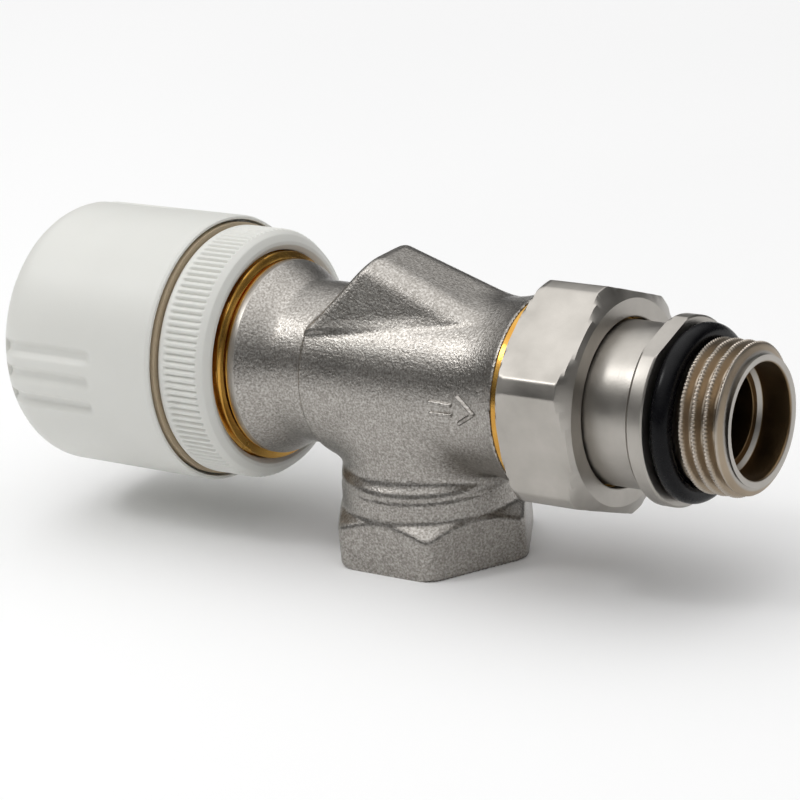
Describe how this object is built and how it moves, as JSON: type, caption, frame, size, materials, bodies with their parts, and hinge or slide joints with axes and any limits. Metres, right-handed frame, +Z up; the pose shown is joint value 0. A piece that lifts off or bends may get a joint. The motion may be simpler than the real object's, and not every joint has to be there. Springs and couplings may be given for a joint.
{
  "type": "radiator valve",
  "caption": "Reverse-angle radiator valve with a white handwheel head, ring nut, downward threaded port, union nut and O-ring sealed threaded tailpiece.",
  "frame": {"origin": "centre of the pipe port's mouth, at the bottom face of its hexagon", "axes": "+Z up, away from the pipe; +X along the main axis from the handwheel to the radiator thread; the flow arrow is on the -Y side"},
  "size_m": [0.1179, 0.0388, 0.0449],
  "materials": {
    "cast_nickel": "matt nickel plate over a grainy hot-pressed brass skin",
    "turned_nickel": "satin nickel plate over turned brass",
    "raw_brass": "bare turned brass",
    "stainless": "ground stainless steel",
    "white_plastic": "warm white moulded plastic, satin",
    "beige_plastic": "beige moulded plastic",
    "black_rubber": "black rubber, slightly glossy",
    "gasket_fibre": "green compressed fibre"
  },
  "bodies": {
    "valve": {"valve_body": "cast_nickel", "bonnet": "raw_brass", "bonnet_o_ring": "black_rubber", "gland_nut": "raw_brass", "gland_o_ring": "black_rubber", "gland_washer": "beige_plastic", "return_spring": "stainless"},
    "stem": {"stem_pin": "stainless", "spindle": "raw_brass", "spring_cup": "stainless", "spindle_clip": "stainless", "disc_holder": "raw_brass", "valve_disc": "black_rubber", "disc_nut": "raw_brass"},
    "head": {"guide_sleeve": "beige_plastic", "snap_ring": "stainless", "cover_disc": "beige_plastic"},
    "ring": {"ring_nut": "white_plastic"},
    "wheel": {"handwheel": "white_plastic", "drive_bush": "beige_plastic"},
    "pusher": {"pusher": "beige_plastic"},
    "tail": {"tailpiece": "turned_nickel", "thrust_ring": "raw_brass", "tail_o_ring": "black_rubber", "union_gasket": "gasket_fibre"},
    "nut": {"union_nut": "turned_nickel"}
  },
  "joints": [
    {"name": "wheel_turn", "type": "hinge", "parent": "head", "child": "wheel", "pos_m": [-0.05, 0, 0.0255], "axis": [1, 0, 0], "range_deg": [0, 630]},
    {"name": "pusher_travel", "type": "slide", "parent": "head", "child": "pusher", "axis": [1, 0, 0], "range_m": [0, 0.0035]},
    {"name": "stem_travel", "type": "slide", "parent": "valve", "child": "stem", "axis": [1, 0, 0], "range_m": [0, 0.0035], "deforming": ["return_spring"]},
    {"name": "ring_turn", "type": "hinge", "parent": "head", "child": "ring", "pos_m": [-0.029, 0, 0.0255], "axis": [-1, 0, 0], "range_deg": [0, 1080]},
    {"name": "head_travel", "type": "slide", "parent": "valve", "child": "head", "axis": [-1, 0, 0], "range_m": [0, 0.0045]},
    {"name": "union_nut_turn", "type": "hinge", "parent": "tail", "child": "nut", "pos_m": [0.0285, 0, 0.0255], "axis": [1, 0, 0], "range_deg": [0, 900]},
    {"name": "tail_travel", "type": "slide", "parent": "valve", "child": "tail", "axis": [1, 0, 0], "range_m": [0, 0.00453]}
  ],
  "couplings": [
    {"joint": "wheel_turn", "follows": "pusher_travel", "rad_per_m": 3141.6},
    {"joint": "stem_travel", "follows": "pusher_travel", "ratio": 1},
    {"joint": "ring_turn", "follows": "head_travel", "rad_per_m": 4188.8},
    {"joint": "union_nut_turn", "follows": "tail_travel", "rad_per_m": 3463.7}
  ]
}
